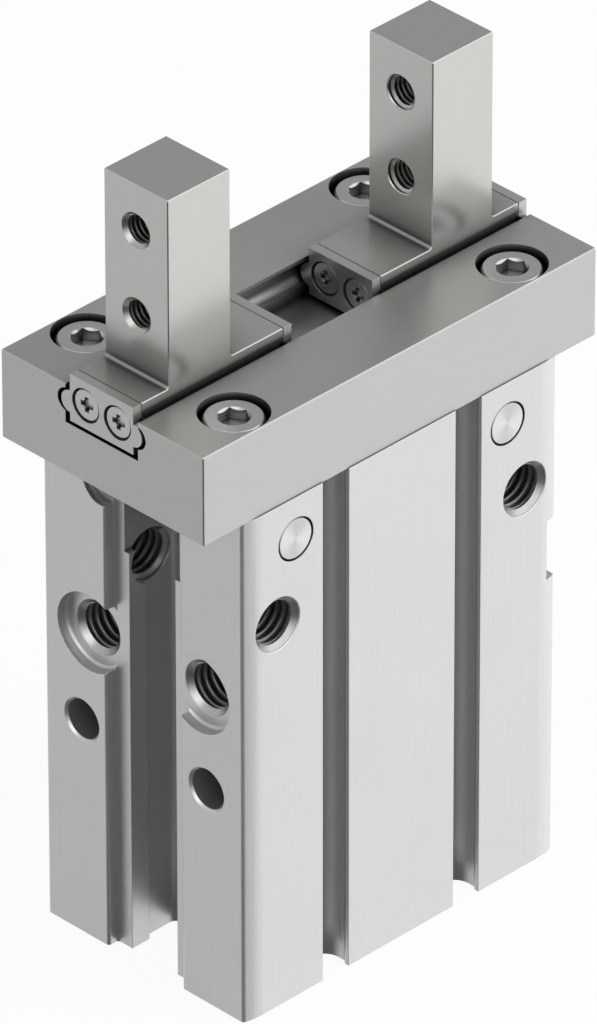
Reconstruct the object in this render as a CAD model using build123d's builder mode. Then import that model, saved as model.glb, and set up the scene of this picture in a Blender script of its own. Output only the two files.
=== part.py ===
from build123d import *
import os
from math import cos, radians, sin

# Parallel gripper with two jaws that slide on one plate, driven by a piston through two levers.
# X is the jaw travel, Y goes across the jaws, Z points from the housing's base to the finger tips.
# The origin is the middle of the housing's base, sizes are millimetres, and the jaws stand open.
# Tapped holes are cut at the thread's outer diameter, and screw shanks have the same size less a fit.

# Fits and gaps
running_fit = 0.05
pivot_fit = 0.02
press_gap = 0.01
seal_gap = 0.03
edge_break = 0.25
plate_break = 0.16

# Housing, an aluminium extrusion
body_length = 59.0
body_width = 38.2
body_height = 79.5
side_run = 3.2
side_drop = 0.44
corner_round = 0.5

# Wide groove down each end of the housing
groove_step_width = 14.1
groove_step_depth = 1.8
groove_throat_width = 8.7
groove_lip_depth = 3.2
groove_width = 10.44
groove_depth = 5.9
groove_round = 1.2
step_round = 0.45
relief_depth = 16.1

# Sensor slots down the broad faces
slot_offset = 12.45
slot_opening = 4.9
slot_lip = 0.95
slot_width = 5.9
slot_depth = 5.2

# Holes in the ends of the housing
m8_thread = 8.0
m5_thread = 5.0
m4_thread = 4.0
m25_thread = 2.5
thread_lead = 0.15
sleeve_diameter = 12.0
sleeve_depth = groove_step_depth
sleeve_round = 0.6
end_thread_pitch = 20.6
end_thread_height = 49.0
end_thread_depth = 11.5
dowel_diameter = 6.0
dowel_pitch = 23.7
dowel_height = 34.35
dowel_depth = 8.0
dowel_chamfer = 0.35
key_height = 9.4
key_middle = 49.2
key_thread_pitch = 22.0
port_recess = 6.4
port_recess_depth = 1.5
port_depth = 6.5
port_offset = 8.0
upper_port_height = 73.5
lower_port_height = 10.2
air_passage = 2.4

# Cross threads through the broad faces
cross_thread_pitch = 46.6
cross_thread_height = 61.05

# Guide plate
plate_length = 73.5
plate_inset = 0.15
plate_thickness = 13.6
channel_width = 13.6
channel_depth = 5.9
rail_radius = 1.8
rail_out = 6.445
rail_drop = 2.35
screw_pitch_x = 52.0
screw_pitch_y = 27.5
screw_head_diameter = 8.3
screw_head_height = 5.0
screw_sink = 0.6
screw_bore_diameter = 9.85
screw_clearance = 5.5
key_size = 4.0
key_depth = 1.8
screw_reach = 10.0
base_thread_pitch_x = 48.0
base_thread_pitch_y = 28.0
base_thread_depth = 10.0
plate_dowel = 4.0
plate_dowel_pitch = 28.0
plate_dowel_half = 6.0

# Jaws
jaw_stroke = 7.5
jaw_gap = 15.1
slide_width = 11.86
slide_height = 7.27
slide_rise = 1.95
finger_start = 18.8
finger_length = 11.4
finger_root = 0.5
finger_height = 28.8
finger_hole_drop = 7.05
finger_hole_pitch = 13.05
cap_thickness = 1.45
wiper_thickness = 0.15
cap_lug_radius = 1.7
cap_lug_out = 5.84
wiper_gap = 0.1
cap_screw_pitch = 5.94
cap_screw_drop = 3.65
cap_bore_diameter = 5.1
cap_bore_depth = 0.9
cap_screw_head = 4.4
cap_screw_sink = 0.22
cross_reach = 1.15
cross_width = 0.76
cross_depth = 0.5
cap_screw_length = 7.0

# Levers and their pins
pivot_x = 19.9
pivot_z = 73.0
pin_diameter = 6.0
pin_mouth = 6.5
pin_mouth_depth = 1.4
pin_chamfer = 0.1
pin_sink = 0.05
swing_half_angle = 12.4
lever_thickness = 7.4
lever_side_gap = 0.2
lever_hub_radius = 4.6
tip_radius = 2.8
tip_neck = 1.9
tip_root = 3.6
toe_reach = 14.0
toe_radius = 2.5
toe_neck = 1.5
toe_root = 3.4
lever_headroom = 0.6
window_gap = 0.6

# Piston, rod and the head that drives the levers
bore_diameter = 25.0
piston_top = 36.0
piston_upper_length = 8.5
magnet_length = 3.5
piston_lower_length = 8.5
hub_radius = 8.4
magnet_radius = 12.2
rod_diameter = 8.0
rod_end_diameter = 6.4
rod_clearance = 0.3
head_radius = 8.4
head_core_radius = 3.2
head_top_flange = 2.0
head_bottom_flange = 2.5
pocket_gap = 0.5
pocket_floor = 64.0
bush_length = 10.0
bush_radius = 6.0
rod_seal_length = 3.0
rod_seal_radius = 6.5
rod_seal_ledge = 2.0
end_gap = 0.6
bumper_inner = 6.5
bumper_outer = 9.0
bumper_seat = 1.0
bumper_stand = 0.5
piston_seal_depth = 2.4
piston_seal_length = 2.8
piston_seal_drop = 2.6
wear_ring_depth = 1.2
wear_ring_length = 4.0
wear_ring_rise = 2.0
piston_chamfer = 1.0
piston_web = 2.0
clamp_head_radius = 3.5
clamp_head_height = 4.0
clamp_reach = 10.0

# Bottom cover
cover_radius = 13.5
cover_height = 6.5
cover_thickness = 4.6
spigot_radius = 11.0
spigot_height = 2.4
cover_seal_groove = 1.35
cover_seal_width = 1.8
cover_seal_wire = 0.65
ring_groove_depth = 0.8
ring_thickness = 1.1
ring_width = 1.75
ring_side_gap = 0.05
ring_opening = 10.0
ring_ear_radius = 1.6
ring_ear_hole = 0.8

# Places worked out from the sizes above
plate_width = body_width - 2 * plate_inset
half_length = body_length / 2
half_width = body_width / 2
plate_top = body_height + plate_thickness
channel_floor = plate_top - channel_depth
rail_z = plate_top - rail_drop
slide_top = plate_top + slide_rise
slide_bottom = slide_top - slide_height
finger_top = slide_top + finger_height
lip_x = half_length - groove_step_depth
throat_x = lip_x - groove_lip_depth
groove_floor_x = throat_x - groove_depth
relief_z = body_height - relief_depth
swing = radians(swing_half_angle)
tip_reach = jaw_stroke / 2 / sin(swing)
head_mid = pivot_z + toe_reach * sin(swing)
piston_stroke = 2 * toe_reach * sin(swing)
head_bottom = head_mid - toe_radius - running_fit - head_bottom_flange
head_top = head_mid + toe_radius + running_fit + head_top_flange
bore_radius = bore_diameter / 2
bore_top = piston_top + end_gap
piston_radius = bore_radius - running_fit
magnet_top = piston_top - piston_upper_length
magnet_bottom = magnet_top - magnet_length
piston_bottom = magnet_bottom - piston_lower_length
slide_inner_x = jaw_gap / 2 + cap_thickness + wiper_thickness
slide_outer_x = plate_length / 2 - cap_thickness - wiper_thickness
cap_screw_z = slide_top - cap_screw_drop
rod_radius = rod_diameter / 2
rod_end_radius = rod_end_diameter / 2
m4_radius = m4_thread / 2
m5_radius = m5_thread / 2
pieces = {}


def turned(*points):
    """A solid of revolution about Z from the corners (radius, height) of its half section."""
    with BuildPart() as piece:
        with BuildSketch(Plane.XZ):
            with BuildLine():
                Polyline(*points, close=True)
            make_face()
        revolve(axis=Axis.Z)
    return piece


def end_plane(side):
    """The face of the housing at one end: local x is world Y times the side, local y is world Z."""
    return Plane(origin=(side * half_length, 0, 0), x_dir=(0, side, 0), z_dir=(side, 0, 0))


# Cutter of a sleeve seat, which leaves a rounded corner at the seat's floor
with BuildPart() as sleeve_seat:
    Cylinder(sleeve_diameter / 2, sleeve_depth, align=(Align.CENTER, Align.CENTER, Align.MAX))
    fillet(sleeve_seat.edges().filter_by(GeomType.CIRCLE).sort_by(Axis.Z)[0], radius=sleeve_round)

# Housing: the extruded section, then the cuts that a mill and a drill make in it
with BuildPart() as housing:
    with BuildSketch() as section:
        with BuildLine():
            flat = Line((0, half_width), (half_length - side_run, half_width))
            curve = TangentArc(flat @ 1, (half_length, half_width - side_drop), tangent=flat % 1)
            Line(curve @ 1, (half_length, 0))
            mirror(about=Plane.YZ)
            mirror(about=Plane.XZ)
        make_face()
        corners = [v for v in section.vertices() if abs(v.X) > half_length - 0.01]
        fillet([v for v in corners if abs(v.Y) > 1], radius=corner_round)
        for side in (-1, 1):
            with Locations((side * (half_length - groove_step_depth / 2), 0)):
                Rectangle(groove_step_depth, groove_step_width, mode=Mode.SUBTRACT)
            with Locations((side * (lip_x - groove_lip_depth / 2), 0)):
                Rectangle(groove_lip_depth, groove_throat_width, mode=Mode.SUBTRACT)
            with Locations((side * (throat_x - groove_depth / 2), 0)):
                Rectangle(groove_depth, groove_width, mode=Mode.SUBTRACT)
        step_edges = [v for v in section.vertices() if abs(abs(v.Y) - groove_step_width / 2) < 0.01]
        fillet(step_edges, radius=step_round)
        floor_edges = [v for v in section.vertices() if abs(abs(v.X) - groove_floor_x) < 0.01]
        fillet(floor_edges, radius=groove_round)
        slot_mouth = half_width - slot_lip / 2
        slot_wall = slot_depth - slot_lip - slot_width / 2
        for side in (-1, 1):
            with Locations((-slot_offset, side * slot_mouth), (slot_offset, side * slot_mouth)):
                Rectangle(slot_opening, slot_lip, mode=Mode.SUBTRACT)
            wall_y = side * (half_width - slot_lip - slot_wall / 2)
            with Locations((-slot_offset, wall_y), (slot_offset, wall_y)):
                Rectangle(slot_width, slot_wall, mode=Mode.SUBTRACT)
            round_y = side * (half_width - slot_lip - slot_wall)
            with Locations((-slot_offset, round_y), (slot_offset, round_y)):
                Circle(slot_width / 2, mode=Mode.SUBTRACT)
    extrude(amount=body_height)

    # Stepped bore: cover seat, cylinder, rod seal, rod bush and the pocket for the driving head
    seal_low = bore_top + rod_seal_ledge
    ring_low = cover_height - cover_thickness - ring_thickness - ring_side_gap
    ring_high = cover_height - cover_thickness
    rod_hole = rod_radius + rod_clearance
    with BuildSketch(Plane.XZ):
        with BuildLine():
            Polyline(
                (0, 0),
                (cover_radius, 0),
                (cover_radius, ring_low),
                (cover_radius + ring_groove_depth, ring_low),
                (cover_radius + ring_groove_depth, ring_high),
                (cover_radius, ring_high),
                (cover_radius, cover_height),
                (bore_radius, cover_height),
                (bore_radius, bore_top),
                (rod_hole, bore_top),
                (rod_hole, seal_low),
                (rod_seal_radius, seal_low),
                (rod_seal_radius, seal_low + rod_seal_length),
                (rod_hole, seal_low + rod_seal_length),
                (rod_hole, pocket_floor - bush_length),
                (bush_radius, pocket_floor - bush_length),
                (bush_radius, pocket_floor),
                (head_radius + pocket_gap, pocket_floor),
                (head_radius + pocket_gap, body_height),
                (0, body_height),
                close=True,
            )
        make_face()
    revolve(axis=Axis.Z, mode=Mode.SUBTRACT)

    # Lever slot across the top, and the groove lips cut back there so that the levers can go in
    with BuildSketch(Plane.XY.offset(relief_z)):
        Rectangle(2 * throat_x, lever_thickness + 2 * lever_side_gap)
        for side in (-1, 1):
            with Locations((side * (groove_floor_x + half_length) / 2, 0)):
                Rectangle(half_length - groove_floor_x, groove_width)
    extrude(amount=relief_depth, mode=Mode.SUBTRACT)

    # End faces: sleeve seats and dowel holes on one end, a locating key way on the other, threads on both
    end_spots = ((-end_thread_pitch / 2, end_thread_height), (end_thread_pitch / 2, end_thread_height))
    with Locations(end_plane(-1)):
        with Locations(*end_spots):
            add(sleeve_seat.part, mode=Mode.SUBTRACT)
    with Locations(end_plane(-1).offset(-sleeve_depth)):
        with Locations(*end_spots):
            CounterSinkHole(m8_thread / 2, m8_thread / 2 + thread_lead, end_thread_depth, 90)
    with Locations(end_plane(-1)):
        with Locations((-dowel_pitch / 2, dowel_height), (dowel_pitch / 2, dowel_height)):
            CounterSinkHole(dowel_diameter / 2, dowel_diameter / 2 + dowel_chamfer, dowel_depth, 90)
    with BuildSketch(Plane.XY.offset(key_middle - key_height / 2)):
        with Locations((half_length - sleeve_depth / 2, 0)):
            Rectangle(sleeve_depth, body_width)
    extrude(amount=key_height, mode=Mode.SUBTRACT)
    with Locations(end_plane(1).offset(-sleeve_depth)):
        with Locations((-key_thread_pitch / 2, key_middle), (key_thread_pitch / 2, key_middle)):
            CounterSinkHole(m8_thread / 2, m8_thread / 2 + thread_lead, end_thread_depth, 90)
    with Locations(end_plane(-1)):
        with Locations((-port_offset, upper_port_height)):
            CounterBoreHole(m5_radius, port_recess / 2, port_recess_depth, port_depth)
    with Locations(end_plane(1)):
        with Locations((port_offset, lower_port_height)):
            CounterBoreHole(m5_radius, port_recess / 2, port_recess_depth, port_depth)
            Hole(air_passage / 2, depth=half_length)

    # Broad faces: cross threads that run right through, and the seats of the pivot pins
    for side in (-1, 1):
        face = Plane(origin=(0, side * half_width, 0), x_dir=(-side, 0, 0), z_dir=(0, side, 0))
        with Locations(face):
            with Locations(
                (-cross_thread_pitch / 2, cross_thread_height), (cross_thread_pitch / 2, cross_thread_height)
            ):
                CounterSinkHole(m8_thread / 2, m8_thread / 2 + thread_lead, half_width, 90)
            with Locations((-pivot_x, pivot_z), (pivot_x, pivot_z)):
                CounterBoreHole(pin_diameter / 2 + press_gap, pin_mouth / 2, pin_mouth_depth, half_width)

    # Top face: threads for the plate screws and holes for the plate dowels; base: four threads
    with Locations(Plane.XY.offset(body_height)):
        with GridLocations(screw_pitch_x, screw_pitch_y, 2, 2):
            Hole(m5_radius, depth=screw_reach + 2)
        with GridLocations(0, plate_dowel_pitch, 1, 2):
            Hole(plate_dowel / 2 + press_gap, depth=plate_dowel_half)
    with Locations(Plane.XY.rotated((180, 0, 0))):
        with GridLocations(base_thread_pitch_x, base_thread_pitch_y, 2, 2):
            CounterSinkHole(m5_radius, m5_radius + thread_lead, base_thread_depth, 90)
pieces["housing"] = housing

# Guide plate: a block with the jaw channel, its two round rails, and windows for the levers
with BuildPart() as guide_plate:
    with BuildSketch(Plane.XY.offset(body_height)):
        Rectangle(plate_length, plate_width)
    extrude(amount=plate_thickness)
    chamfer(guide_plate.edges().filter_by(Axis.Z), length=plate_break)
    chamfer(guide_plate.faces().sort_by(Axis.Z)[-1].edges(), length=plate_break)
    with BuildSketch(Plane.YZ):
        with Locations((0, plate_top - channel_depth / 2)):
            Rectangle(channel_width, channel_depth)
        with Locations((-rail_out, rail_z), (rail_out, rail_z)):
            Circle(rail_radius)
    extrude(amount=plate_length / 2, both=True, mode=Mode.SUBTRACT)
    lean = tip_reach * sin(swing) + tip_radius + window_gap
    with BuildSketch(Plane.XY.offset(body_height)):
        with Locations((-pivot_x, 0), (pivot_x, 0)):
            Rectangle(2 * lean, lever_thickness + 2 * lever_side_gap)
    extrude(amount=plate_thickness, mode=Mode.SUBTRACT)
    with BuildSketch(Plane.XY.offset(body_height)):
        Circle(head_radius + pocket_gap)
    extrude(amount=head_top - body_height + lever_headroom, mode=Mode.SUBTRACT)
    with Locations(Plane.XY.offset(plate_top)):
        with GridLocations(screw_pitch_x, screw_pitch_y, 2, 2):
            CounterBoreHole(
                screw_clearance / 2, screw_bore_diameter / 2, screw_sink + screw_head_height, plate_thickness
            )
    with BuildSketch(Plane.XY.offset(body_height)):
        with GridLocations(0, plate_dowel_pitch, 1, 2):
            Circle(plate_dowel / 2 + press_gap)
    extrude(amount=plate_dowel_half, mode=Mode.SUBTRACT)
pieces["guide_plate"] = guide_plate

# Plate screws with a six-lobed recess
with BuildPart() as plate_screws:
    head_z = plate_top - screw_sink
    with BuildSketch(Plane.XY.offset(head_z - screw_head_height)):
        with GridLocations(screw_pitch_x, screw_pitch_y, 2, 2):
            Circle(screw_head_diameter / 2)
    extrude(amount=screw_head_height)
    chamfer(plate_screws.faces().filter_by(Axis.Z).group_by(Axis.Z)[-1].edges(), length=edge_break)
    with BuildSketch(Plane.XY.offset(body_height - screw_reach)):
        with GridLocations(screw_pitch_x, screw_pitch_y, 2, 2):
            Circle(m5_radius - press_gap)
    extrude(amount=screw_reach + head_z - screw_head_height - body_height)
    key_corner = key_size / 3 ** 0.5
    with BuildSketch(Plane.XY.offset(head_z)):
        with GridLocations(screw_pitch_x, screw_pitch_y, 2, 2):
            RegularPolygon(key_corner, 6)
    extrude(amount=-key_depth, mode=Mode.SUBTRACT)
    with Locations(Plane.XY.offset(head_z - key_corner / 2)):
        with GridLocations(screw_pitch_x, screw_pitch_y, 2, 2):
            Cone(0, key_corner, key_corner, mode=Mode.SUBTRACT)
pieces["plate_screws"] = plate_screws

with BuildPart() as plate_dowels:
    with BuildSketch(Plane.XY.offset(body_height - plate_dowel_half)):
        with GridLocations(0, plate_dowel_pitch, 1, 2):
            Circle(plate_dowel / 2)
    extrude(amount=2 * plate_dowel_half)
pieces["plate_dowels"] = plate_dowels


def slide_bar(start, length, half, lug_out, lug_radius, low, high):
    """A length of jaw slide: a straight sided bar with a round lug on each side, along X."""
    with BuildPart() as bar:
        with BuildSketch(Plane.YZ.offset(start)):
            with Locations((0, (low + high) / 2)):
                Rectangle(2 * half, high - low)
            with Locations((-lug_out, rail_z), (lug_out, rail_z)):
                Circle(lug_radius)
        extrude(amount=length)
    return bar.part


def make_jaw(side):
    """A jaw: its slide in the channel, the finger block on it and the socket of the lever tip."""
    slide = slide_bar(
        side * slide_inner_x,
        side * (slide_outer_x - slide_inner_x),
        slide_width / 2,
        rail_out,
        rail_radius - running_fit,
        slide_bottom,
        slide_top,
    )
    with BuildPart() as jaw:
        add(slide)
        finger_mid = side * (finger_start + finger_length / 2)
        with BuildSketch(Plane.XY.offset(slide_top)):
            with Locations((finger_mid, 0)):
                Rectangle(finger_length, slide_width)
        extrude(amount=finger_height)
        across = jaw.edges().filter_by(Axis.Y)
        roots = [
            e for e in across
            if abs(e.center().Z - slide_top) < 0.01
            and abs(abs(e.center().X - finger_mid) - finger_length / 2) < 0.01
        ]
        fillet(roots, radius=finger_root)
        rim = [
            e for e in jaw.edges()
            if e.bounding_box().min.Z > slide_top - 0.01
            and abs(e.bounding_box().size.Y) < 0.01
            and abs(abs(e.center().Y) - slide_width / 2) < 0.01
        ]
        rim += [e for e in jaw.edges().filter_by(Axis.Y) if abs(e.center().Z - finger_top) < 0.01]
        chamfer(rim, length=edge_break / 2)
        with BuildSketch(Plane.XY.offset(slide_bottom)):
            with Locations((side * (pivot_x + jaw_stroke / 2), 0)):
                Rectangle(2 * (tip_radius + running_fit), lever_thickness + 2 * lever_side_gap)
        extrude(
            amount=pivot_z + tip_reach + tip_radius + lever_headroom / 2 - slide_bottom, mode=Mode.SUBTRACT
        )
        finger_face = Plane(
            origin=(finger_mid - finger_length / 2, 0, finger_top), x_dir=(0, -1, 0), z_dir=(-1, 0, 0)
        )
        with Locations(finger_face):
            with Locations((0, -finger_hole_drop), (0, -finger_hole_drop - finger_hole_pitch)):
                CounterSinkHole(m5_radius, m5_radius + thread_lead, finger_length, 90)
        for end, way in ((slide_inner_x, -1), (slide_outer_x, 1)):
            with BuildSketch(Plane.YZ.offset(side * end)):
                with Locations((-cap_screw_pitch / 2, cap_screw_z), (cap_screw_pitch / 2, cap_screw_z)):
                    Circle(m25_thread / 2)
            extrude(amount=-side * way * cap_screw_length, mode=Mode.SUBTRACT)
    return jaw


def make_cap(side, start, way):
    """An end cap; start is its face against the wiper and way is +1 for the outer end, -1 for the inner."""
    body = slide_bar(
        side * start,
        side * way * cap_thickness,
        slide_width / 2,
        cap_lug_out,
        cap_lug_radius,
        slide_bottom,
        slide_top,
    )
    with BuildPart() as cap:
        add(body)
        face = Plane(
            origin=(side * (start + way * cap_thickness), 0, cap_screw_z),
            x_dir=(0, 1, 0),
            z_dir=(side * way, 0, 0),
        )
        with Locations(face):
            with Locations((-cap_screw_pitch / 2, 0), (cap_screw_pitch / 2, 0)):
                CounterBoreHole(m25_thread / 2 + seal_gap, cap_bore_diameter / 2, cap_bore_depth, cap_thickness)
    return cap


def make_wipers(side):
    """The two thin wipers of a jaw, which fill the channel's section behind its end caps."""
    starts = (slide_inner_x - wiper_thickness, slide_outer_x)
    blades = [
        slide_bar(
            side * start,
            side * wiper_thickness,
            channel_width / 2 - wiper_gap,
            rail_out,
            rail_radius - wiper_gap,
            channel_floor + wiper_gap,
            plate_top - wiper_gap,
        )
        for start in starts
    ]
    with BuildPart() as wipers:
        for start, blade in zip(starts, blades):
            add(blade)
            with BuildSketch(Plane.YZ.offset(side * start)):
                with Locations((0, (slide_bottom + slide_top) / 2)):
                    Rectangle(slide_width, slide_height - wiper_gap)
            extrude(amount=side * wiper_thickness)
            with BuildSketch(Plane.YZ.offset(side * start)):
                with Locations((-cap_screw_pitch / 2, cap_screw_z), (cap_screw_pitch / 2, cap_screw_z)):
                    Circle(m25_thread / 2 + seal_gap)
            extrude(amount=side * wiper_thickness, mode=Mode.SUBTRACT)
    return wipers


def make_cap_screws(side):
    """Four low headed screws of a jaw, two for each end cap, with a cross recess."""
    shank = m25_thread / 2 - press_gap
    with BuildPart() as screws:
        for start, way in ((jaw_gap / 2, -1), (plate_length / 2, 1)):
            face = Plane(
                origin=(side * (start - way * cap_screw_sink), 0, cap_screw_z),
                x_dir=(0, 1, 0),
                z_dir=(side * way, 0, 0),
            )
            spots = ((-cap_screw_pitch / 2, 0), (cap_screw_pitch / 2, 0))
            with BuildSketch(face):
                with Locations(*spots):
                    Circle(cap_screw_head / 2)
            extrude(amount=cap_screw_sink - cap_bore_depth)
            with BuildSketch(face):
                with Locations(*spots):
                    Circle(shank)
            extrude(amount=-cap_screw_length)
            with BuildSketch(face):
                with Locations(*spots):
                    Rectangle(2 * cross_reach, cross_width)
                    Rectangle(cross_width, 2 * cross_reach)
                    Circle(cross_width)
            extrude(amount=-cross_depth, taper=15, mode=Mode.SUBTRACT)
    return screws


def arm_corners(root, end, root_half, end_half):
    """Corners of a tapered arm from root to end, half as wide at each as given."""
    along = (Vector(*end) - Vector(*root)).normalized()
    across = Vector(-along.Y, along.X)
    return [
        Vector(*root) + across * root_half,
        Vector(*end) + across * end_half,
        Vector(*end) - across * end_half,
        Vector(*root) - across * root_half,
    ]


def make_lever(side):
    """A bell crank: its tip pushes the jaw and its toe sits in the groove of the driving head."""
    pivot = (side * pivot_x, pivot_z)
    tip = (side * (pivot_x + tip_reach * sin(swing)), pivot_z + tip_reach * cos(swing))
    toe = (side * (pivot_x - toe_reach * cos(swing)), pivot_z + toe_reach * sin(swing))
    with BuildPart() as lever:
        with BuildSketch(Plane.XZ):
            with Locations(pivot):
                Circle(lever_hub_radius)
            with Locations(tip):
                Circle(tip_radius)
            with Locations(toe):
                Circle(toe_radius)
            for end, root_half, end_half in ((tip, tip_root, tip_neck), (toe, toe_root, toe_neck)):
                with BuildLine():
                    Polyline(*arm_corners(pivot, end, root_half, end_half), close=True)
                make_face()
            with Locations(pivot):
                Circle(pin_diameter / 2 + pivot_fit, mode=Mode.SUBTRACT)
        extrude(amount=lever_thickness / 2, both=True)
    return lever


def make_pivot_pin(side):
    """A ground pin across the housing, just below flush with the broad faces."""
    with BuildPart() as pin:
        with BuildSketch(Plane.XZ):
            with Locations((side * pivot_x, pivot_z)):
                Circle(pin_diameter / 2)
        extrude(amount=half_width - pin_sink, both=True)
        chamfer(pin.edges().filter_by(GeomType.CIRCLE), length=pin_chamfer)
    return pin


for side, hand in ((-1, "left"), (1, "right")):
    pieces[f"jaw_{hand}"] = make_jaw(side)
    pieces[f"inner_cap_{hand}"] = make_cap(side, jaw_gap / 2 + cap_thickness, -1)
    pieces[f"outer_cap_{hand}"] = make_cap(side, plate_length / 2 - cap_thickness, 1)
    pieces[f"wipers_{hand}"] = make_wipers(side)
    pieces[f"cap_screws_{hand}"] = make_cap_screws(side)
    pieces[f"lever_{hand}"] = make_lever(side)
    pieces[f"pivot_pin_{hand}"] = make_pivot_pin(side)

# Driving head: two flanges with the levers' toes between them, screwed on the rod
stud_top = head_top - head_top_flange / 2
pieces["driving_head"] = turned(
    (m4_radius, head_bottom),
    (head_radius - edge_break, head_bottom),
    (head_radius, head_bottom + edge_break),
    (head_radius, head_bottom + head_bottom_flange),
    (head_core_radius, head_bottom + head_bottom_flange),
    (head_core_radius, head_top - head_top_flange),
    (head_radius, head_top - head_top_flange),
    (head_radius, head_top - edge_break),
    (head_radius - edge_break, head_top),
    (0, head_top),
    (0, stud_top),
    (m4_radius, stud_top),
)

# Piston rod: a stud for the head at the top, a stepped end for the piston and a tapped hole below
rod_foot = piston_bottom + bumper_seat + clamp_head_height + piston_web + edge_break
pieces["piston_rod"] = turned(
    (m4_radius, rod_foot),
    (rod_end_radius, rod_foot),
    (rod_end_radius, piston_top),
    (rod_radius, piston_top),
    (rod_radius, head_bottom),
    (m4_radius - press_gap, head_bottom),
    (m4_radius - press_gap, stud_top - edge_break),
    (0, stud_top - edge_break),
    (0, rod_foot + clamp_reach),
    (m4_radius, rod_foot + clamp_reach),
)

# Piston: an upper and a lower half that clamp the magnet ring
groove_high = piston_top - piston_seal_drop
groove_low = groove_high - piston_seal_length
groove_radius = piston_radius - piston_seal_depth
bore_in_piston = rod_end_radius + press_gap
pieces["piston_upper"] = turned(
    (bore_in_piston, magnet_top),
    (piston_radius, magnet_top),
    (piston_radius, groove_low),
    (groove_radius, groove_low),
    (groove_radius, groove_high),
    (piston_radius, groove_high),
    (piston_radius, piston_top - edge_break),
    (piston_radius - edge_break, piston_top),
    (bumper_outer, piston_top),
    (bumper_outer, piston_top - bumper_seat),
    (bumper_inner, piston_top - bumper_seat),
    (bumper_inner, piston_top),
    (bore_in_piston, piston_top),
)
wear_low = piston_bottom + wear_ring_rise
wear_high = wear_low + wear_ring_length
wear_radius = piston_radius - wear_ring_depth
screw_seat = piston_bottom + bumper_seat + clamp_head_height
clamp_bore = clamp_head_radius + running_fit
pieces["piston_lower"] = turned(
    (m4_radius + seal_gap, screw_seat),
    (clamp_bore, screw_seat),
    (clamp_bore, piston_bottom),
    (bumper_inner, piston_bottom),
    (bumper_inner, piston_bottom + bumper_seat),
    (bumper_outer, piston_bottom + bumper_seat),
    (bumper_outer, piston_bottom),
    (piston_radius - piston_chamfer, piston_bottom),
    (piston_radius, piston_bottom + piston_chamfer),
    (piston_radius, wear_low),
    (wear_radius, wear_low),
    (wear_radius, wear_high),
    (piston_radius, wear_high),
    (piston_radius, magnet_bottom),
    (hub_radius, magnet_bottom),
    (hub_radius, magnet_top),
    (bore_in_piston, magnet_top),
    (bore_in_piston, screw_seat + piston_web),
    (m4_radius + seal_gap, screw_seat + piston_web),
)
pieces["magnet_ring"] = turned(
    (hub_radius + press_gap, magnet_bottom),
    (magnet_radius, magnet_bottom),
    (magnet_radius, magnet_top),
    (hub_radius + press_gap, magnet_top),
)
pieces["wear_ring"] = turned(
    (wear_radius + press_gap, wear_low),
    (bore_radius - seal_gap, wear_low),
    (bore_radius - seal_gap, wear_high),
    (wear_radius + press_gap, wear_high),
)
lip = piston_seal_length / 4
pieces["piston_seal"] = turned(
    (groove_radius + press_gap, groove_low),
    (piston_radius - lip / 2, groove_low),
    (bore_radius - seal_gap, groove_low + lip),
    (bore_radius - seal_gap, groove_high - lip),
    (piston_radius - lip / 2, groove_high),
    (groove_radius + press_gap, groove_high),
)

# Clamp screw of the piston, and the two rubber bumpers let into its faces
with BuildPart() as piston_screw:
    with BuildSketch(Plane.XY.offset(screw_seat - clamp_head_height)):
        Circle(clamp_head_radius)
    extrude(amount=clamp_head_height)
    with BuildSketch(Plane.XY.offset(screw_seat)):
        Circle(m4_radius - press_gap)
    extrude(amount=piston_web + clamp_reach - edge_break)
    with BuildSketch(Plane.XY.offset(screw_seat - clamp_head_height)):
        RegularPolygon(clamp_head_radius / 2, 6)
    extrude(amount=clamp_head_height / 2, mode=Mode.SUBTRACT)
pieces["piston_screw"] = piston_screw
for name, seat, way in (("upper", piston_top, 1), ("lower", piston_bottom, -1)):
    pieces[f"{name}_bumper"] = turned(
        (bumper_inner + press_gap, seat - way * bumper_seat),
        (bumper_outer - press_gap, seat - way * bumper_seat),
        (bumper_outer - press_gap, seat + way * bumper_stand / 2),
        (bumper_outer - bumper_stand, seat + way * bumper_stand),
        (bumper_inner + bumper_stand, seat + way * bumper_stand),
        (bumper_inner + press_gap, seat + way * bumper_stand / 2),
    )

# Rod seal and rod bush in the housing's middle wall
pieces["rod_seal"] = turned(
    (rod_radius + seal_gap, seal_low),
    (rod_seal_radius - press_gap, seal_low),
    (rod_seal_radius - press_gap, seal_low + rod_seal_length),
    (rod_radius + seal_gap, seal_low + rod_seal_length),
)
pieces["rod_bush"] = turned(
    (rod_radius + pivot_fit, pocket_floor - bush_length),
    (bush_radius - press_gap, pocket_floor - bush_length),
    (bush_radius - press_gap, pocket_floor),
    (rod_radius + pivot_fit + edge_break, pocket_floor),
    (rod_radius + pivot_fit, pocket_floor - edge_break),
)

# Bottom cover with its seal and the sprung ring that holds it
cover_low = cover_height - cover_thickness
cover_rim = cover_radius - running_fit
cover_seal_mid = cover_low + cover_thickness / 2
pieces["bottom_cover"] = turned(
    (0, cover_low + edge_break),
    (spigot_radius - cover_thickness, cover_low + edge_break),
    (spigot_radius - cover_thickness, cover_low),
    (cover_rim, cover_low),
    (cover_rim, cover_seal_mid - cover_seal_width / 2),
    (cover_rim - cover_seal_groove, cover_seal_mid - cover_seal_width / 2),
    (cover_rim - cover_seal_groove, cover_seal_mid + cover_seal_width / 2),
    (cover_rim, cover_seal_mid + cover_seal_width / 2),
    (cover_rim, cover_height),
    (spigot_radius, cover_height),
    (spigot_radius, cover_height + spigot_height),
    (0, cover_height + spigot_height),
)
with BuildPart() as cover_seal:
    with BuildSketch(Plane.XZ):
        with Locations((cover_rim - cover_seal_groove + cover_seal_wire + press_gap, cover_seal_mid)):
            Circle(cover_seal_wire)
    revolve(axis=Axis.Z)
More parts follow.
